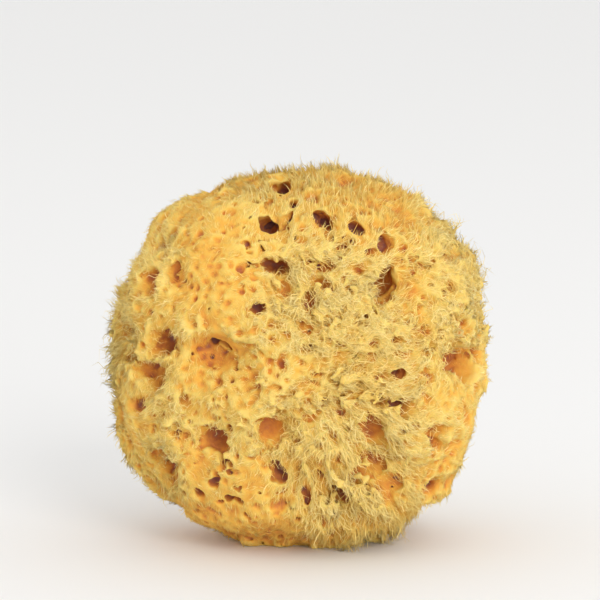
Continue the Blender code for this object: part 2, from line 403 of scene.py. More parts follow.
# The mouths of the front: each one's middle across and up from the body's middle as it is
# seen, how wide and high it is, how deep its canal goes, all in mm, and its turn in degrees
Mouth = namedtuple("Mouth", "across up wide high deep turn")
FRONT_MOUTHS = (
    # The upper third
    Mouth(-4.2, 40.6, 4.4, 7.0, 12.0, 0),
    Mouth(-10.2, 40.6, 2.0, 3.0, 5.0, 0),
    Mouth(-1.8, 36.4, 2.2, 2.4, 5.0, 0),
    Mouth(-6.9, 41.6, 1.4, 3.0, 5.0, 0),
    Mouth(0.6, 40.4, 1.8, 2.0, 4.0, 0),
    Mouth(-17.0, 34.2, 3.4, 2.2, 1.4, 0),
    Mouth(-7.8, 30.6, 6.0, 4.6, 8.0, -20),
    Mouth(5.2, 32.5, 5.0, 3.0, 7.5, -45),
    Mouth(13.9, 29.9, 5.0, 3.0, 6.5, -30),
    Mouth(20.2, 26.2, 2.8, 3.8, 6.0, 15),
    Mouth(-19.8, 27.6, 2.7, 2.0, 1.5, 0),
    Mouth(-20.0, 24.7, 1.9, 1.7, 1.4, 0),
    Mouth(-24.3, 29.0, 2.4, 2.2, 1.6, 0),
    Mouth(-20.0, 21.2, 2.6, 2.0, 1.4, 0),
    Mouth(-14.4, 20.3, 2.0, 2.2, 2.0, 25),
    Mouth(-16.6, 21.6, 1.6, 2.4, 1.2, 10),
    Mouth(-5.7, 21.2, 6.8, 3.2, 8.5, -12),
    Mouth(5.9, 20.7, 4.8, 2.6, 6.0, 8),
    Mouth(14.8, 20.3, 2.8, 3.4, 4.0, 30),
    Mouth(21.2, 17.4, 5.8, 7.8, 14.0, -10),
    Mouth(-9.1, 26.0, 0.9, 3.0, 4.0, 30),
    Mouth(-1.8, 28.3, 0.9, 1.8, 4.0, -15),
    Mouth(-3.6, 26.0, 1.6, 3.0, 1.6, 0),
    Mouth(10.1, 25.7, 2.8, 1.6, 5.0, 0),
    Mouth(12.8, 27.0, 1.5, 1.7, 4.0, 0),
    Mouth(10.4, 28.0, 1.8, 0.8, 3.0, 0),
    Mouth(17.4, 24.3, 3.4, 2.0, 5.0, 0),
    Mouth(-1.0, 23.5, 1.4, 1.2, 2.0, 0),
    Mouth(1.5, 19.7, 1.5, 1.2, 1.6, 0),
    Mouth(-19.0, 17.0, 2.2, 0.9, 1.6, 0),
    # The middle third
    Mouth(-20.5, 4.4, 2.6, 3.6, 6.0, -15),
    Mouth(-17.4, 2.4, 8.0, 2.2, 2.6, -24),
    Mouth(-10.0, 14.7, 1.8, 1.4, 1.6, 0),
    Mouth(-14.0, 14.9, 1.5, 1.4, 1.4, 0),
    Mouth(-23.0, 13.7, 1.1, 1.0, 1.4, 0),
    Mouth(15.4, 12.8, 1.5, 0.9, 2.0, 0),
    Mouth(18.2, 10.8, 0.7, 2.2, 3.0, 20),
    Mouth(20.4, 12.8, 2.2, 0.8, 3.0, -20),
    Mouth(0.2, 7.8, 3.6, 1.6, 5.0, -20),
    Mouth(1.3, 5.1, 2.6, 1.4, 5.0, 0),
    Mouth(2.2, 1.6, 3.4, 1.7, 5.0, 0),
    Mouth(-3.1, 4.8, 1.5, 1.4, 1.8, 0),
    Mouth(-6.4, 3.5, 2.0, 2.2, 2.4, 0),
    Mouth(22.3, 8.1, 2.0, 1.5, 2.6, 0),
    Mouth(21.7, 6.1, 2.4, 1.3, 2.6, 0),
    Mouth(18.1, 2.5, 2.5, 1.7, 4.0, -20),
    Mouth(19.7, 0.8, 1.7, 1.2, 3.0, 0),
    Mouth(-4.4, -2.5, 2.0, 2.5, 2.6, 0),
    Mouth(-7.4, -4.1, 1.2, 1.1, 1.6, 0),
    Mouth(4.2, -5.1, 2.4, 1.3, 2.6, 0),
    Mouth(14.3, -2.5, 2.7, 1.3, 1.8, 0),
    Mouth(10.0, -9.7, 1.5, 1.4, 3.0, 0),
    Mouth(-18.0, -10.4, 1.3, 1.2, 2.0, 0),
    Mouth(-10.9, -10.4, 1.0, 0.9, 1.6, 0),
    Mouth(-21.3, -11.1, 1.1, 1.0, 1.8, 0),
    Mouth(5.6, 16.6, 6.2, 3.6, 6.0, -40),
    Mouth(2.4, 12.8, 3.6, 5.6, 6.5, -20),
    Mouth(19.8, 12.0, 3.0, 5.0, 3.0, 15),
    Mouth(-9.9, 11.1, 3.6, 3.0, 5.0, 0),
    Mouth(1.2, 6.2, 3.0, 2.2, 4.0, -20),
    Mouth(24.0, 3.0, 3.0, 2.4, 4.0, 0),
    Mouth(13.0, -6.1, 3.2, 2.4, 4.0, 0),
    Mouth(9.4, -5.9, 2.2, 3.2, 4.0, 0),
    Mouth(23.8, -4.7, 3.8, 3.0, 5.5, 0),
    Mouth(19.2, -10.6, 4.8, 4.0, 7.0, 0),
    Mouth(21.4, -13.4, 5.4, 4.4, 1.8, -30),
    Mouth(6.2, -11.2, 2.6, 2.6, 4.5, 30),
    Mouth(24.4, -12.4, 4.4, 4.4, 8.0, 0),
    # The lower third
    Mouth(0.5, -19.0, 1.5, 1.1, 2.0, 0),
    Mouth(0.2, -21.6, 2.1, 1.5, 2.4, 0),
    Mouth(4.8, -21.3, 1.4, 1.0, 2.0, 0),
    Mouth(-11.7, -24.9, 2.1, 1.0, 1.6, 0),
    Mouth(-4.5, -13.2, 2.0, 2.4, 4.0, 0),
    Mouth(4.7, -13.4, 1.6, 2.4, 3.5, 0),
    Mouth(2.6, -15.0, 3.6, 2.4, 4.0, 20),
    Mouth(17.2, -17.2, 6.0, 8.0, 5.0, 18),
    Mouth(-7.0, -18.0, 6.4, 6.0, 5.4, 20),
    Mouth(-5.6, -20.6, 3.0, 4.0, 3.6, 20),
    Mouth(-9.2, -15.4, 3.4, 1.8, 5.0, 20),
    Mouth(-20.3, -20.6, 7.2, 6.0, 6.8, 30),
    Mouth(-22.9, -17.6, 2.6, 1.8, 4.5, 25),
    Mouth(-17.2, -17.6, 1.8, 2.6, 4.0, -20),
    Mouth(17.0, -24.8, 7.8, 4.6, 3.0, 0),
    Mouth(-6.0, -25.9, 2.6, 2.2, 4.5, 0),
    Mouth(-16.9, -26.2, 1.2, 2.4, 3.0, 15),
    Mouth(-16.0, -28.2, 3.4, 1.6, 1.4, -10),
    Mouth(-4.4, -28.6, 3.2, 4.8, 6.0, 30),
    Mouth(14.6, -28.8, 6.2, 4.6, 5.4, 0),
    Mouth(21.6, -30.6, 7.6, 5.6, 2.6, 30),
    Mouth(5.2, -28.8, 2.2, 3.8, 5.0, 35),
    Mouth(-20.8, -30.7, 2.9, 2.2, 3.6, 10),
    Mouth(-19.9, -29.4, 1.3, 1.7, 3.0, 0),
    Mouth(9.4, -32.4, 3.4, 7.2, 6.0, 38),
    Mouth(1.6, -33.0, 2.4, 7.6, 3.8, 8),
    Mouth(-0.4, -29.0, 1.2, 3.0, 3.4, 0),
    Mouth(-24.3, -33.0, 2.6, 3.0, 4.0, 0),
    Mouth(-17.2, -33.9, 2.8, 2.4, 4.4, 30),
    Mouth(-15.0, -34.7, 3.2, 2.2, 3.6, -10),
    Mouth(-19.2, -35.3, 2.2, 1.3, 2.2, 25),
    Mouth(14.6, -36.3, 2.6, 2.6, 4.5, 0),
    Mouth(-13.2, -38.4, 1.2, 1.2, 2.5, 0),
    Mouth(-4.5, -43.1, 1.2, 2.2, 3.0, 0),
)
CANAL_RISE = 0.40

# The front's wider hollows, that pits and fibres are in too
FRONT_VALLEYS = (
    Mouth(-20.4, 0.6, 14.0, 9.6, 3.6, -20),
    Mouth(-21.8, 2.8, 5.0, 5.0, 2.4, -10),
    Mouth(-3.7, 16.0, 5.0, 9.0, 3.0, 12),
    Mouth(-4.6, 30.6, 6.0, 4.0, 1.6, -50),
    Mouth(16.6, 15.0, 9.0, 4.0, 1.4, -40),
    Mouth(17.6, -25.0, 11.0, 8.0, 2.4, 10),
    Mouth(21.4, -31.0, 9.4, 7.4, 1.6, 30),
    Mouth(-4.6, -35.5, 8.0, 3.6, 1.3, 15),
    Mouth(7.0, -33.0, 6.0, 10.0, 1.6, 35),
)

# How far in front of the body's middle the valleys start, and where they are at their full depth
VALLEYS_FROM = 5 * MM
VALLEYS_TO = 12 * MM

# The tongues and lips that stand over the front's hollows, placed as the mouths are: how wide
# and high each is, how far it stands out, all in mm, and its turn in degrees
Lobe = namedtuple("Lobe", "across up wide high out turn")
FRONT_LOBES = (
    Lobe(-14.4, 4.6, 9.8, 4.0, 1.2, -22),
    Lobe(-24.2, 6.2, 4.4, 4.4, 0.8, 20),
    Lobe(-7.4, 26.5, 5.2, 3.0, 0.7, 35),
    Lobe(-6.4, 24.2, 8.4, 1.5, 0.8, -4),
    Lobe(-1.6, 29.2, 2.6, 5.4, 0.6, -15),
    Lobe(-11.4, 16.8, 7.6, 5.4, 0.6, -40),
    Lobe(6.0, 14.4, 4.0, 1.3, 0.8, -48),
    Lobe(14.2, -5.4, 9.8, 2.6, 1.5, -8),
    Lobe(13.6, -10.8, 8.6, 1.7, 1.3, 16),
    Lobe(21.0, -8.2, 2.2, 3.2, 0.9, 0),
    Lobe(22.0, -17.0, 3.6, 5.4, 1.0, 10),
    Lobe(-1.4, -10.2, 11.0, 4.4, 1.2, -12),
    Lobe(-13.4, -15.8, 4.4, 4.0, 1.0, -50),
    Lobe(-1.0, -22.6, 7.0, 5.0, 0.8, 0),
    Lobe(1.6, -27.6, 1.6, 7.0, 1.1, 8),
    Lobe(5.6, -25.0, 2.4, 8.0, 1.0, 30),
    Lobe(11.6, -24.6, 3.4, 7.6, 1.2, 38),
    Lobe(14.8, -33.4, 3.4, 8.4, 1.2, 48),
    Lobe(6.4, -36.0, 2.6, 8.0, 0.9, 30),
)

# How softly the rims of mouths and small pits round off, and how uneven their walls are
MOUTH_SOFT = 0.35 * MM
PIT_SOFT = 0.9 * MM
MOUTH_UNEVEN = 0.55
PIT_UNEVEN = 0.30
EVEN_INSIDE = 0.15
LOBE_UNEVEN = 0.18

# A hollow taken out of the solid: its middle, its three directions and its half sizes
Hollow = namedtuple("Hollow", "middle axes radii")


def broad_form(random):
    """The rounded form of the solid, and its hull with every pit filled, on the wide grid."""
    points, triangles = cad_surface("sponge")
    exact = distances(points, triangles=triangles)
    wide_points, wide_quads = surface(exact, COARSE, CLOSING)
    closed = distances(wide_points, quads=wide_quads) + CLOSING
    hull = Grid(blurred(closed, HULL_ROUNDING), COARSE)
    near = np.argwhere(np.abs(hull.values) < KNOWN_STEPS * COARSE)
    places = near * COARSE + ORIGIN
    front = np.zeros(COARSE_COUNTS, np.float32)
    front[tuple(near.T)] = front_share(places, hull.slope(places))
    form = blurred(exact, ROUNDING) * (1 - front) + blurred(closed, ROUNDING) * front
    return Grid(form, COARSE), hull


def far_from(mouth, across, up):
    """How far places are seen from a mouth's middle: 1 on its rim."""
    turn = math.radians(mouth.turn)
    x, y = across - mouth.across, up - mouth.up
    x, y = x * math.cos(turn) + y * math.sin(turn), y * math.cos(turn) - x * math.sin(turn)
    return np.hypot(x / mouth.wide, y / mouth.high) * 2


def with_valleys(form):
    """The broad form with the front's wider hollows pressed into it."""
    near = np.argwhere(np.abs(form.values) < KNOWN_STEPS * COARSE)
    places = near * COARSE + ORIGIN
    across, up = seen_at(places)
    pressed = np.zeros(len(near))
    for valley in FRONT_VALLEYS:
        share = 1 - smooth_step(far_from(valley, across, up), 0.3, 1.1)
        pressed = np.maximum(pressed, valley.deep * MM * share)
    values = form.values.copy()
    values[tuple(near.T)] += pressed * smooth_step(-places[:, 1], VALLEYS_FROM, VALLEYS_TO)
    return Grid(values, form.step)


def refined(grid):
    """A wide grid's numbers on the fine grid."""
    values = np.pad(grid.values, 2, mode="edge")[1:, 1:, 1:]
    for axis in range(3):
        values = stretched(values, COUNTS[axis], COARSE_STEPS, axis)
    return np.ascontiguousarray(values)


def window_around(hollow):
    """The part of the grid around a hollow, and where it lies from the hollow's middle."""
    reach = max(hollow.radii) * 1.6 + VOXEL
    low = np.floor((hollow.middle - reach - ORIGIN) / VOXEL).astype(int)
    high = np.ceil((hollow.middle + reach - ORIGIN) / VOXEL).astype(int) + 1
    low = np.clip(low, 0, COUNTS)
    high = np.clip(high, 0, COUNTS)
    steps = [
        (np.arange(a, b) * VOXEL + start - middle).astype(np.float32)
        for a, b, start, middle in zip(low, high, ORIGIN, hollow.middle)
    ]
    along = []
    for axis, radius in zip(hollow.axes, hollow.radii):
        x, y, z = (step * np.float32(part / radius) for step, part in zip(steps, axis))
        along.append(x[:, None, None] + y[None, :, None] + z[None, None, :])
    return tuple(slice(a, b) for a, b in zip(low, high)), along


def carve(field, ragged, hollow, soft, uneven):
    """Takes one hollow out of the solid: ragged at its rim, even further in, its rim soft."""
    window, (side, rise, inward) = window_around(hollow)
    away = np.sqrt(side**2 + rise**2 + inward**2)
    away = away * (1 + uneven * np.clip(0.5 - inward, EVEN_INSIDE, 1) * ragged[window])
    inside = (1 - away) * np.float32(min(hollow.radii))
    step = inside - field[window]
    share = np.clip(0.5 + 0.5 * step / soft, 0, 1)
    field[window] += step * share + np.float32(soft) * share * (1 - share)


def build_up(field, ragged, lobe):
    """Adds one lobe with a ragged edge to the solid."""
    window, along = window_around(lobe)
    away = np.sqrt(sum(part**2 for part in along)) * (1 + LOBE_UNEVEN * ragged[window])
    np.minimum(field[window], (away - 1) * np.float32(min(lobe.radii)), out=field[window])


def canal_axes(inward, turn):
    """The side, rise and inward directions of a canal, turned about its own length."""
    side = unit(np.cross(inward, [0.0, 0.0, 1.0]) + 1e-6)
    rise = np.cross(side, inward)
    cosine, sine = math.cos(turn), math.sin(turn)
    return np.array([side * cosine + rise * sine, rise * cosine - side * sine, inward])


def place_seen(tree, hull, seen):
    """Where a mouth or lobe of the photograph lies on a surface, and the way outward there."""
    target = BODY_MIDDLE + (seen.across * RIGHT + seen.up * UPWARD) * MM
    ahead = unit(target - EYE)
    place = np.array(tree.ray_cast(Vector(EYE), Vector(ahead))[0])
    return place, hull.slope(place[None])[0]


def front_lobes(hull_tree, hull):
    """The tongues and lips of the front."""
    found = []
    for lobe in FRONT_LOBES:
        place, outward = place_seen(hull_tree, hull, lobe)
        axes = canal_axes(-outward, math.radians(lobe.turn))
        middle = place - outward * INSET
        found.append(Hollow(middle, axes, (lobe.wide * MM / 2, lobe.high * MM / 2, lobe.out * MM)))
    return found


def front_hollows(form_tree, hull):
    """The hollows of the front, each where it is seen in the photograph."""
    found = []
    for mouth in FRONT_MOUTHS:
        outward = place_seen(form_tree, hull, mouth)[1]
        inward = unit(-outward - TOWARDS * 0.6 + np.array([0.0, 0.0, CANAL_RISE]))
        wide, high, deep = mouth.wide * MM / 2, mouth.high * MM / 2, mouth.deep * MM
        ahead = inward * (deep * 0.30 + INSET * 0.5)
        # A canal's middle that would be seen above its mouth is set lower
        lower = mouth._replace(up=mouth.up - max(0, ahead @ UPWARD) / MM)
        middle = place_seen(form_tree, hull, lower)[0] + ahead
        axes = canal_axes(inward, math.radians(mouth.turn))
        wider = 1.0 + 0.12 * min(1, mouth.deep / 6)
        found.append(Hollow(middle, axes, (wide * wider, high * wider, deep * 0.72)))
    return found


def spread_places(random, points, apart):
    """Numbers of points that lie about this far apart, which may differ from place to place."""
    taken = {}
    chosen = []
    cell = float(apart.max())
    keys = np.floor(points / cell).astype(int)
    around = list(np.ndindex(3, 3, 3))
    for index in random.permutation(len(points)):
        key, point, gap = keys[index], points[index], apart[index]
        free = True
        for offset in around:
            spot = (key[0] + offset[0] - 1, key[1] + offset[1] - 1, key[2] + offset[2] - 1)
            for other in taken.get(spot, ()):
                x, y, z = other[0] - point[0], other[1] - point[1], other[2] - point[2]
                if x * x + y * y + z * z < gap * gap:
                    free = False
                    break
            if not free:
                break
        if free:
            taken.setdefault(tuple(key), []).append(tuple(point))
            chosen.append(index)
    return np.array(chosen)


def small_hollows(random, places, outward, styles):
    """The small pits between the mouths, as each stretch of the surface has them."""
    chosen = spread_places(random, places, styles[:, 0] * MM)
    across, up = seen_at(places[chosen])
    taken = np.zeros(len(chosen), bool)
    for mouth in FRONT_MOUTHS:
        taken |= far_from(mouth, across, up) < 1 + 1.2 / max(mouth.wide, mouth.high)
    found = []
    for index in chosen[~(taken & (places[chosen, 1] < 0))]:
        style = Style(*styles[index])
        size = random.uniform(0.5, 1.45)
        wide = style.wide * MM / 2 * size
        high = wide * random.uniform(0.5, 1.3)
        deep = style.deep * MM / 2 * size
        inward = unit(-outward[index] + random.normal(0, 0.30, 3) + [0, 0, 0.35])
        axes = canal_axes(inward, random.uniform(0, math.pi))
        middle = places[index] + inward * (INSET + 0.35 * deep)
        found.append(Hollow(middle, axes, (wide, high, deep)))
    return found


def largest_part(points, quads):
    """The largest connected stretch of a surface, without the crumbs that carving leaves."""
    labels = np.arange(len(points))
    a, b, c, d = quads.T
    while True:
        least = np.minimum(np.minimum(labels[a], labels[b]), np.minimum(labels[c], labels[d]))
        fresh = labels.copy()
        for corner in (a, b, c, d):
            np.minimum.at(fresh, corner, least)
        fresh = np.minimum(fresh, fresh[fresh])
        fresh = fresh[fresh]
        if np.array_equal(fresh, labels):
            break
        labels = fresh
    kept_label = np.bincount(labels[a]).argmax()
    quads = quads[labels[a] == kept_label]
    used = np.unique(quads)
    number = np.zeros(len(points), np.int64)
    number[used] = np.arange(len(used))
    return points[used], number[quads]


def new_mesh(name, points, faces):
    """A mesh from arrays of points and of faces that all have the same number of corners."""
    mesh = bpy.data.meshes.new(name)
    count, corners = faces.shape
    mesh.vertices.add(len(points))
    mesh.vertices.foreach_set("co", points.astype(np.float32).ravel())
    mesh.loops.add(count * corners)
    mesh.loops.foreach_set("vertex_index", faces.astype(np.int32).ravel())
    mesh.polygons.add(count)
    mesh.polygons.foreach_set("loop_start", np.arange(0, count * corners, corners, dtype=np.int32))
    mesh.update(calc_edges=True)
    mesh.polygons.foreach_set("use_smooth", np.ones(count, bool))
    return mesh


def mesh_points(mesh):
    """The points of a mesh, one a row."""
    points = np.empty(len(mesh.vertices) * 3, np.float32)
    mesh.vertices.foreach_get("co", points)
    return points.reshape(-1, 3).astype(float)


def reduced(mesh, triangles):
    """The mesh with fewer triangles, which stay where its shape needs them."""
    scratch = bpy.data.objects.new("scratch", mesh)
    bpy.context.scene.collection.objects.link(scratch)
    fewer = scratch.modifiers.new("fewer", "DECIMATE")
    fewer.ratio = triangles / sum(p.loop_total - 2 for p in mesh.polygons)
    fewer.use_collapse_triangulate = True
    evaluated = scratch.evaluated_get(bpy.context.evaluated_depsgraph_get())
    result = bpy.data.meshes.new_from_object(evaluated)
    bpy.data.objects.remove(scratch)
    return result


def solid_share(field, spread):
    """How much of the space around each point is solid: over a half in a hollow."""
    inside = np.clip(0.5 - field / (2 * VOXEL), 0, 1).astype(np.float32)
    return Grid(blurred(inside, spread * MM / VOXEL), VOXEL)


# Painted shade in the sponge's colour: how pale it is near its hull, how much darker each
# millimetre further in is, and more so from a canal's depth on, how much darker a hollow is, and
# how much darker it is towards the foot
HULL_PALE = 0.60
DARKER_A_MM = 0.035
CANAL_DEPTH = 4.7
CANAL_DARKER_A_MM = 0.065
HOLLOW_PAINTED_SHADE = 0.8
FOOT_PAINTED_SHADE = 0.12


def shaded(points, styles, hull, near_share, wide_share):
    """How pale each point is, from 0 deep in a canal to 1 on a ridge: painted shade, darker deep
    under the hull, in hollows and towards the foot, and paler or darker by the kind of surface.
    """
    depth = -hull.at(points) / MM
    narrow = near_share.at(points)
    broad = wide_share.at(points)
    value = HULL_PALE - DARKER_A_MM * np.clip(depth - 1.0, -1, 12)
    value -= CANAL_DARKER_A_MM * np.clip(depth - CANAL_DEPTH, 0, 8)
    value -= HOLLOW_PAINTED_SHADE * (narrow - 0.5)
    value -= HOLLOW_PAINTED_SHADE * (broad - 0.45)
    value += styles[:, -1] - FOOT_PAINTED_SHADE * (1 - smooth_step(points[:, 2], 2 * MM, 26 * MM))
    return np.clip(value, 0, 0.8)


def corners_of(mesh):
    """The corners of a mesh's triangles."""
    corners = np.empty(len(mesh.loops), np.int32)
    mesh.loops.foreach_get("vertex_index", corners)
    return corners.reshape(-1, 3)


def halves(mesh, pale):
    """The skin's front and back, each a mesh of half of its triangles, with their shades."""
    corners = corners_of(mesh)
    points = mesh_points(mesh)
    order = np.argsort(points[corners, 1].mean(axis=1), kind="stable")
    middle = len(order) // 2
    found = {}
    for name, chosen in (("skin_front", order[:middle]), ("skin_back", order[middle:])):
        used = np.unique(corners[chosen])
        number = np.zeros(len(points), np.int64)
        number[used] = np.arange(len(used))
        found[name] = new_mesh(name, points[used], number[corners[chosen]])
        put_attribute(found[name], "pale", pale[used])
    return found


def put_attribute(mesh, name, values):
    """Stores one number for each point of a mesh."""
    attribute = mesh.attributes.new(name, "FLOAT", "POINT")
    attribute.data.foreach_set("value", values.astype(np.float32))


# The fibres

# The fibres of one fleece, as arrays with a row for each fibre
Strands = namedtuple("Strands", "roots ahead bend long thick curl shade tip outward")

# How far a fibre's own roundness tells in its shading, against the surface that it grows on:
# light passes through the real, glassy fibres, so none has a dark side
ROUND_SHADING = 0.3

# How much paler a fibre's tip is than the skin at its root, as painted light, how much darker its
# root is, as painted shade, how pale a curly fibre is at least whatever its painted shade, how deep
# its root is in mm, and how high points of the flat cut lie
TIP_PAINTED_LIGHT = 0.20
ROOT_PAINTED_SHADE = 0.15
CURLY_ROOT_PALE = 0.62
CURLY_TIP_PALE = 0.88
ROOT_IN_SKIN = 0.15
CUT_REACH = 0.6 * MM

# A fleece: how many fibres and how many rings each, how long beside those of their style, how thick
# in mm, how curly, and whether they grow mostly at the rims of mouths
Fleece = namedtuple("Fleece", "name count rings long thick curl at_rims")
FLEECES = (
    Fleece("fleece_1", 49500, 1, 0.8, 0.20, 0.0, False),
    Fleece("fleece_2", 49500, 1, 1.1, 0.22, 0.0, False),
    Fleece("fleece_3", 9000, 4, 1.5, 0.22, 0.8, True),
    Fleece("fleece_4", 6500, 4, 1.9, 0.20, 0.9, True),
)


def strands_mesh(name, random, strands, rings):
    """Closed, tapering three-sided tubes, one for each strand, joined in one mesh."""
    count = len(strands.roots)
    side = unit(np.cross(strands.ahead, random.normal(0, 1, (count, 3))))
    other = np.cross(strands.ahead, side)
    phase = random.uniform(0, 2 * math.pi, count)[:, None]
    turns = random.uniform(0.6, 1.5, count)[:, None] * 2 * math.pi
    long = strands.long[:, None]

    def centre(share):
        wave = strands.curl[:, None] * share * long
        swing = np.cos(phase + turns * share) * side + np.sin(phase + turns * share) * other
        start = np.cos(phase) * side + np.sin(phase) * other
        line = strands.ahead * share + strands.bend * share**2
        return strands.roots + line * long + wave * (swing - start * (1 - share))

    parts, shades, facing = [], [], []
    for ring in range(rings):
        share = ring / rings
        radius = strands.thick[:, None] / 2 * (1 - 0.6 * share**1.5)
        for corner in range(3):
            angle = 2 * math.pi * corner / 3
            spoke = math.cos(angle) * side + math.sin(angle) * other
            parts.append(centre(share) + radius * spoke)
            facing.append(unit(strands.outward + ROUND_SHADING * spoke))
            # Painted shade at the root fades into a painted paler tip
            shades.append(strands.shade + (strands.tip - strands.shade) * min(1, share * 1.4))
    parts.append(centre(1.0))
    shades.append(strands.tip)
    facing.append(strands.outward)
    points = np.stack(parts, axis=1).reshape(-1, 3)
    points[:, 2] = np.maximum(points[:, 2], 0.05 * MM)

    faces = [(2, 1, 0)]
    for ring in range(rings - 1):
        for corner in range(3):
            low, low_next = 3 * ring + corner, 3 * ring + (corner + 1) % 3
            faces.append((low, low_next, low_next + 3))
            faces.append((low, low_next + 3, low + 3))
    last = 3 * (rings - 1)
    for corner in range(3):
        faces.append((last + corner, last + (corner + 1) % 3, 3 * rings))
    each = 3 * rings + 1
    numbers = np.arange(count)[:, None, None] * each + np.array(faces)[None]
    mesh = new_mesh(name, points, numbers.reshape(-1, 3))
    put_attribute(mesh, "pale", np.stack(shades, axis=1).ravel())
    mesh.normals_split_custom_set_from_vertices(np.stack(facing, axis=1).reshape(-1, 3).tolist())
    return mesh


def sampled(random, mesh, weights, count):
    """Places spread at random over a triangle mesh: their points, faces and corner weights."""
    corners = corners_of(mesh)
    points = mesh_points(mesh)
    a, b, c = (points[corners[:, k]] for k in range(3))
    area = np.linalg.norm(np.cross(b - a, c - a), axis=1) / 2
    chance = area * weights[corners].mean(axis=1)
    picked = random.choice(len(corners), count, p=chance / chance.sum())
    first, second = random.random((2, count))
    over = first + second > 1
    first[over], second[over] = 1 - first[over], 1 - second[over]
    share = np.stack([1 - first - second, first, second], axis=1)
    return corners[picked], share


def mixed(values, corners, share):
    """Values of a mesh's points read at sampled places."""
    if values.ndim == 1:
        return (values[corners] * share).sum(axis=1)
    return (values[corners] * share[:, :, None]).sum(axis=1)


# Materials

def shader_of(name, roughness):
    """A new material and its shader."""
    material = bpy.data.materials.new(name)
    material.use_nodes = True
    shader = material.node_tree.nodes["Principled BSDF"]
    shader.inputs["Roughness"].default_value = roughness
    return material, shader


# The colours from deep in a canal to a ridge, of the skin and of the glassy fibres on it. The dark
# end is painted shade, and the skin's colours, darker than the fibres', are painted shade for the
# skin that lies under its fibres
SKIN_COLOURS = (
    (0.00, (0.340, 0.150, 0.125)),
    (0.16, (0.500, 0.175, 0.060)),
    (0.34, (0.710, 0.305, 0.060)),
    (0.52, (0.800, 0.430, 0.074)),
    (0.70, (0.770, 0.510, 0.116)),
    (0.88, (0.780, 0.590, 0.180)),
    (1.00, (0.800, 0.640, 0.250)),
)
FIBRE_COLOURS = (
    (0.00, (0.500, 0.160, 0.050)),
    (0.20, (0.820, 0.340, 0.055)),
    (0.40, (0.870, 0.470, 0.085)),
    (0.60, (0.900, 0.580, 0.132)),
    (0.80, (0.970, 0.700, 0.210)),
    (1.00, (1.000, 0.810, 0.350)),
)


def sponge_material(name, colours, roughness, bump, subsurface):
    """Golden fibre, pale on the ridges and deep amber to brown in the hollows, as painted shade from
    the pale attribute, with random patches and specks.
    """
    material, shader = shader_of(name, roughness)
    tree = material.node_tree
    nodes, links = tree.nodes, tree.links
    place = nodes.new("ShaderNodeTexCoord")
    pale = nodes.new("ShaderNodeAttribute")
    pale.attribute_name = "pale"

    patches = nodes.new("ShaderNodeTexNoise")
    patches.inputs["Scale"].default_value = 90
    patches.inputs["Detail"].default_value = 3
    specks = nodes.new("ShaderNodeTexNoise")
    specks.inputs["Scale"].default_value = 900
    specks.inputs["Detail"].default_value = 4
    links.new(place.outputs["Object"], patches.inputs["Vector"])
    links.new(place.outputs["Object"], specks.inputs["Vector"])

    def shifted(noise, amount, before):
        centred = nodes.new("ShaderNodeMath")
        centred.operation = "SUBTRACT"
        centred.inputs[1].default_value = 0.5
        links.new(noise.outputs["Fac"], centred.inputs[0])
        scaled = nodes.new("ShaderNodeMath")
        scaled.operation = "MULTIPLY_ADD"
        scaled.inputs[1].default_value = amount
        links.new(centred.outputs[0], scaled.inputs[0])
        links.new(before, scaled.inputs[2])
        return scaled.outputs[0]

    value = shifted(patches, 0.30, pale.outputs["Fac"])
    value = shifted(specks, 0.30, value)
    ramp = nodes.new("ShaderNodeValToRGB")
    stops = ramp.color_ramp.elements
    stops[0].position, stops[0].color = colours[0][0], (*colours[0][1], 1)
    stops[1].position, stops[1].color = colours[-1][0], (*colours[-1][1], 1)
    for position, colour in colours[1:-1]:
        stop = stops.new(position)
        stop.color = (*colour, 1)
    links.new(value, ramp.inputs["Fac"])
    links.new(ramp.outputs["Color"], shader.inputs["Base Color"])

    if bump:
        pores = nodes.new("ShaderNodeTexNoise")
        pores.inputs["Scale"].default_value = 1500
        pores.inputs["Detail"].default_value = 5
        links.new(place.outputs["Object"], pores.inputs["Vector"])
        relief = nodes.new("ShaderNodeBump")
        relief.inputs["Strength"].default_value = bump
        relief.inputs["Distance"].default_value = 0.4 * MM
        links.new(pores.outputs["Fac"], relief.inputs["Height"])
        links.new(relief.outputs["Normal"], shader.inputs["Normal"])
    shader.inputs["Specular IOR Level"].default_value = 0.15
    shader.inputs["Subsurface Weight"].default_value = subsurface
    shader.inputs["Subsurface Radius"].default_value = (1.0, 0.55, 0.18)
    shader.inputs["Subsurface Scale"].default_value = 1.6 * MM
    return material


def add_piece(name, mesh, material):
    """A visible piece that rides on the one body."""
    piece = bpy.data.objects.new(name, mesh)
    bpy.context.scene.collection.objects.link(piece)
    mesh.materials.clear()
    mesh.materials.append(material)
    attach(piece, "root")
    return piece


# The light and the floor

WORLD_STRENGTH = 0.92
KEY_PLACE = (0.85, -2.1, 1.25)
FILL_PLACE = (0.8, -2.1, 0.12)
FLOOR_COLOUR = (0.88, 0.875, 0.865, 1)


def area_light(name, place, aim, size, power, colour=(1, 1, 1)):
    """A square, soft light."""
    data = bpy.data.lights.new(name, "AREA")
    data.shape = "SQUARE"
    data.size = size
    data.energy = power
    data.color = colour
    light = bpy.data.objects.new(name, data)
    light.location = place
    light.rotation_euler = (Vector(aim) - Vector(place)).to_track_quat("-Z", "Y").to_euler()
    bpy.context.scene.collection.objects.link(light)


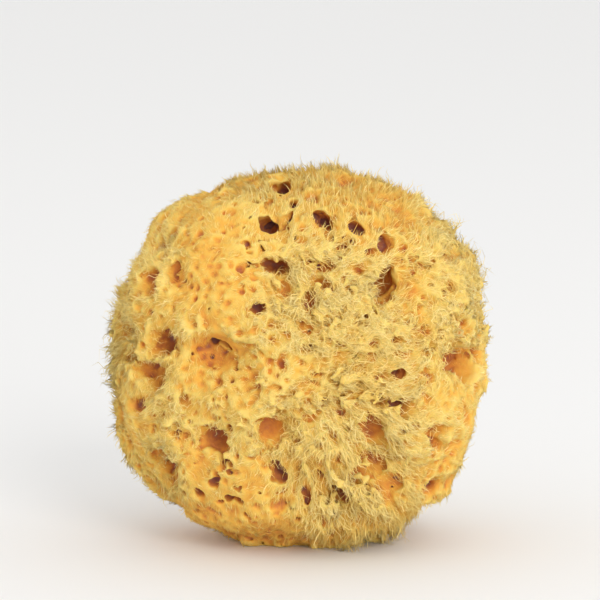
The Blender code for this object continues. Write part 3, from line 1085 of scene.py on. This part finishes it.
def make_studio():
    """A pale floor, a white world, and two large soft lights in front: one high and one low."""
    scene = bpy.context.scene
    scene.view_settings.view_transform = "Standard"
    world = bpy.data.worlds.new("studio")
    world.use_nodes = True
    world.node_tree.nodes["Background"].inputs["Color"].default_value = (1, 1, 1, 1)
    world.node_tree.nodes["Background"].inputs["Strength"].default_value = WORLD_STRENGTH
    scene.world = world
    aim = BODY_MIDDLE
    area_light("key", KEY_PLACE, aim, 0.9, 18.5, (1.0, 0.99, 0.97))
    area_light("fill", FILL_PLACE, aim, 1.0, 19.0)

    corners = np.array([[-3, -3, 0], [3, -3, 0], [3, 3, 0], [-3, 3, 0]], float)
    floor = bpy.data.objects.new("floor", new_mesh("floor", corners, np.array([[0, 1, 2, 3]])))
    scene.collection.objects.link(floor)
    material, shader = shader_of("pale_floor", 0.8)
    shader.inputs["Base Color"].default_value = FLOOR_COLOUR
    floor.data.materials.append(material)


def make_sponge():
    """The two halves of the skin, and what the fibres need to know of it."""
    random = np.random.default_rng(SEED)
    form, hull = broad_form(random)
    form = with_valleys(form)
    mixes = [soft_noise(random, MIX_SIZE, COARSE_COUNTS, COARSE) for _ in KINDS]

    hull_points, hull_quads = surface(hull.values, COARSE)
    hull_tree = BVHTree.FromPolygons(hull_points.tolist(), hull_quads.tolist())

    heights = np.arange(COUNTS[2]) * VOXEL + ORIGIN[2]
    above_foot = smooth_step(heights, 0, FOOT_HIGH)
    inset = INSET * above_foot - FOOT_SUNK * (1 - above_foot)
    field = refined(form) + inset[None, None, :].astype(np.float32)

    form_points, form_quads = surface(form.values, COARSE)
    form_tree = BVHTree.FromPolygons(form_points.tolist(), form_quads.tolist())
    form_points = form_points.astype(float)
    form_points += random.normal(0, 0.25 * MM, form_points.shape)
    outward = hull.slope(form_points)
    styles = styles_at(form_points, outward, mixes)

    lumps = soft_noise(random, LUMP_SIZE, COUNTS, VOXEL).values
    roughness = soft_noise(random, ROUGH_SIZE, COUNTS, VOXEL).values
    comb_grooves(field, lumps)
    folds = soft_noise(random, FOLD_SIZE, COARSE_COUNTS, COARSE)
    folds = refined(Grid(np.abs(folds.values) - 0.6, COARSE))
    rough = refined(rough_amounts(hull, mixes))
    field += rough * (1.1 * folds + lumps)
    ragged = 0.8 * roughness + 0.6 * lumps
    for hollow in front_hollows(form_tree, hull):
        carve(field, ragged, hollow, MOUTH_SOFT, MOUTH_UNEVEN)
    for lobe in front_lobes(hull_tree, hull):
        build_up(field, ragged, lobe)
    for hollow in small_hollows(random, form_points, outward, styles):
        carve(field, ragged, hollow, PIT_SOFT, PIT_UNEVEN)
    field += 0.8 * rough * roughness

    field = np.maximum(field, -heights[None, None, :].astype(np.float32))
    narrow = solid_share(field, 0.8)
    broad = solid_share(field, 2.2)

    limit = 3 * VOXEL
    points, quads = surface(np.clip(field, -limit, limit), VOXEL)
    points, quads = largest_part(points, quads)
    mesh = reduced(new_mesh("fine", points, quads), 2 * SKIN_TRIANGLES)
    points = mesh_points(mesh)
    points[:, 2] = np.maximum(points[:, 2], 0)
    mesh.vertices.foreach_set("co", points.astype(np.float32).ravel())
    mesh.update()

    styles = styles_at(points, hull.slope(points), mixes)
    pale = shaded(points, styles, hull, narrow, broad)
    material = sponge_material("sponge_skin", SKIN_COLOURS, 0.92, 0.6, 0.25)
    for name, part in halves(mesh, pale).items():
        skin = add_piece(name, part, material)
        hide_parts("sponge")
    return random, mesh, pale, hull, styles, Grid(field, VOXEL), broad


def rims_and_insides(points):
    """How near each point is seen to a mouth's rim, and how far inside one, from 0 to 1."""
    across, up = seen_at(points)
    rim = np.zeros(len(points))
    inside = np.zeros(len(points))
    for mouth in FRONT_MOUTHS:
        far = far_from(mouth, across, up)
        deep = min(1, mouth.deep / 4)
        ring = smooth_step(far, 1.05, 1.2) * (1 - smooth_step(far, 1.4, 2.2))
        rim = np.maximum(rim, ring * deep)
        inside = np.maximum(inside, (1 - smooth_step(far, 0.75, 0.98)) * deep)
    for lobe in FRONT_LOBES:
        inside *= smooth_step(far_from(lobe, across, up), 0.9, 1.1)
    in_front = points[:, 1] < 0
    return rim * in_front, inside * in_front


def make_fibres(random, mesh, pale, hull, styles, field, broad):
    """The fibres on the skin, one piece for each fleece."""
    points = mesh_points(mesh)
    normals = np.empty(len(points) * 3, np.float32)
    mesh.vertices.foreach_get("normal", normals)
    normals = normals.reshape(-1, 3).astype(float)
    outward = hull.slope(points)
    depth = -hull.at(points) / MM
    exposed = smooth_step(pale, 0.16, 0.42) * (1 - smooth_step(depth, 4.0, 6.5))
    on_the_cut = (points[:, 2] < CUT_REACH) & (normals[:, 2] < -0.5)
    rim, inside = rims_and_insides(points)
    front = front_share(points, outward)
    rim = rim * front + 0.4 * smooth_step(0.50 - broad.at(points), 0, 0.14) * (1 - front)
    weights = exposed * styles[:, 4] * ~on_the_cut * (1 - 0.94 * inside) * (1 + 0.5 * front)
    rim_weights = weights * smooth_step(pale, 0.38, 0.55) * (0.4 + 1.2 * rim) * (0.2 + styles[:, 9])
    material = sponge_material("sponge_fibre", FIBRE_COLOURS, 0.85, 0.0, 0.0)

    # The flow along which the fibres lean changes softly from place to place
    flow = [soft_noise(random, 9 * MM, COARSE_COUNTS, COARSE) for _ in range(3)]
    fine_flow = [soft_noise(random, 2.5 * MM, COARSE_COUNTS, COARSE) for _ in range(3)]

    for name, count, rings, long_share, thick, curl_share, at_rims in FLEECES:
        chances = rim_weights if at_rims else weights
        corners, share = sampled(random, mesh, chances, count)
        roots = mixed(points, corners, share)
        away = mixed(outward, corners, share)
        normal = unit(mixed(normals, corners, share) + 0.9 * away)
        style = mixed(styles, corners, share)
        root_pale = mixed(pale, corners, share)
        lean_way = np.stack([grid.at(roots) for grid in flow], axis=1)
        lean_way += 0.8 * np.stack([grid.at(roots) for grid in fine_flow], axis=1)
        lean_way += random.normal(0, 0.35, roots.shape)
        across, up = seen_at(roots)
        front = front_share(roots, away)[:, None]
        lean_way = lean_way * (1 - 0.3 * front) + 1.2 * front * combed(across, up)
        fan = fan_share(across, up)[:, None] * front
        spread = unit(np.stack([across - FAN_ACROSS, up - FAN_UP], axis=1))
        fan_way = spread[:, :1] * RIGHT + spread[:, 1:] * UPWARD
        lean_way = lean_way * (1 - 0.8 * fan) + 2.0 * fan * fan_way
        lean_way -= normal * (lean_way * normal).sum(axis=1, keepdims=True)
        lean = style[:, 6:7]
        ahead = unit(normal * (1 - 0.75 * lean) + unit(lean_way) * lean)
        ahead = unit(ahead + random.normal(0, 0.16, roots.shape))
        long = style[:, 5] * MM * long_share * random.uniform(0.55, 1.25, count)

        # A fibre that would hang over an open hollow is short, apart from a few
        rise = (ahead * away).sum(axis=1, keepdims=True)
        below = roots + (ahead - rise * away) * long[:, None] - away * 0.9 * MM
        hanging = smooth_step(field.at(below), 0.0, 0.5 * MM)
        over_mouth = rims_and_insides(roots + ahead * long[:, None])[1] > 0.4
        hanging = np.maximum(hanging, 1.3 * over_mouth)
        hanging *= random.random(count) > OVER_HOLLOWS
        long *= 1 - 0.65 * hanging

        tuft_gap = float(np.median(style[:, 7])) * MM
        heads = spread_places(random, roots, np.full(count, tuft_gap))
        tree = kdtree.KDTree(len(heads))
        for number, index in enumerate(heads):
            tree.insert(roots[index], number)
        tree.balance()
        nearest = heads[[tree.find(root)[1] for root in roots]]
        tips = roots + ahead * long[:, None]
        tuft_tips = roots[nearest] + ahead[nearest] * (long * 1.15)[:, None]
        draw = style[:, 8:9] * random.uniform(0.3, 1.0, (count, 1))
        tips = tips * (1 - draw) + tuft_tips * draw
        bend = (tips - roots) / long[:, None] - ahead
        curl = style[:, 9] * curl_share * random.uniform(0.2, 1.0, count)
        widths = thick * MM * random.uniform(0.7, 1.2, count)
        # Painted shade and light: a fibre's root is painted darker than the skin there, its tip
        # paler
        root_pale = root_pale + random.normal(0, 0.05, count)
        tip_pale = np.clip(root_pale + TIP_PAINTED_LIGHT + random.normal(0, 0.10, count), 0.3, 1)
        if curl_share:
            root_pale = np.maximum(root_pale, CURLY_ROOT_PALE)
            tip_pale = np.maximum(tip_pale, CURLY_TIP_PALE)
        strands = Strands(
            roots - normal * ROOT_IN_SKIN * MM, ahead, bend, long, widths, curl,
            root_pale - ROOT_PAINTED_SHADE, tip_pale, normal,
        )
        add_piece(name, strands_mesh(name, random, strands, rings), material)


make_studio()
make_fibres(*make_sponge())
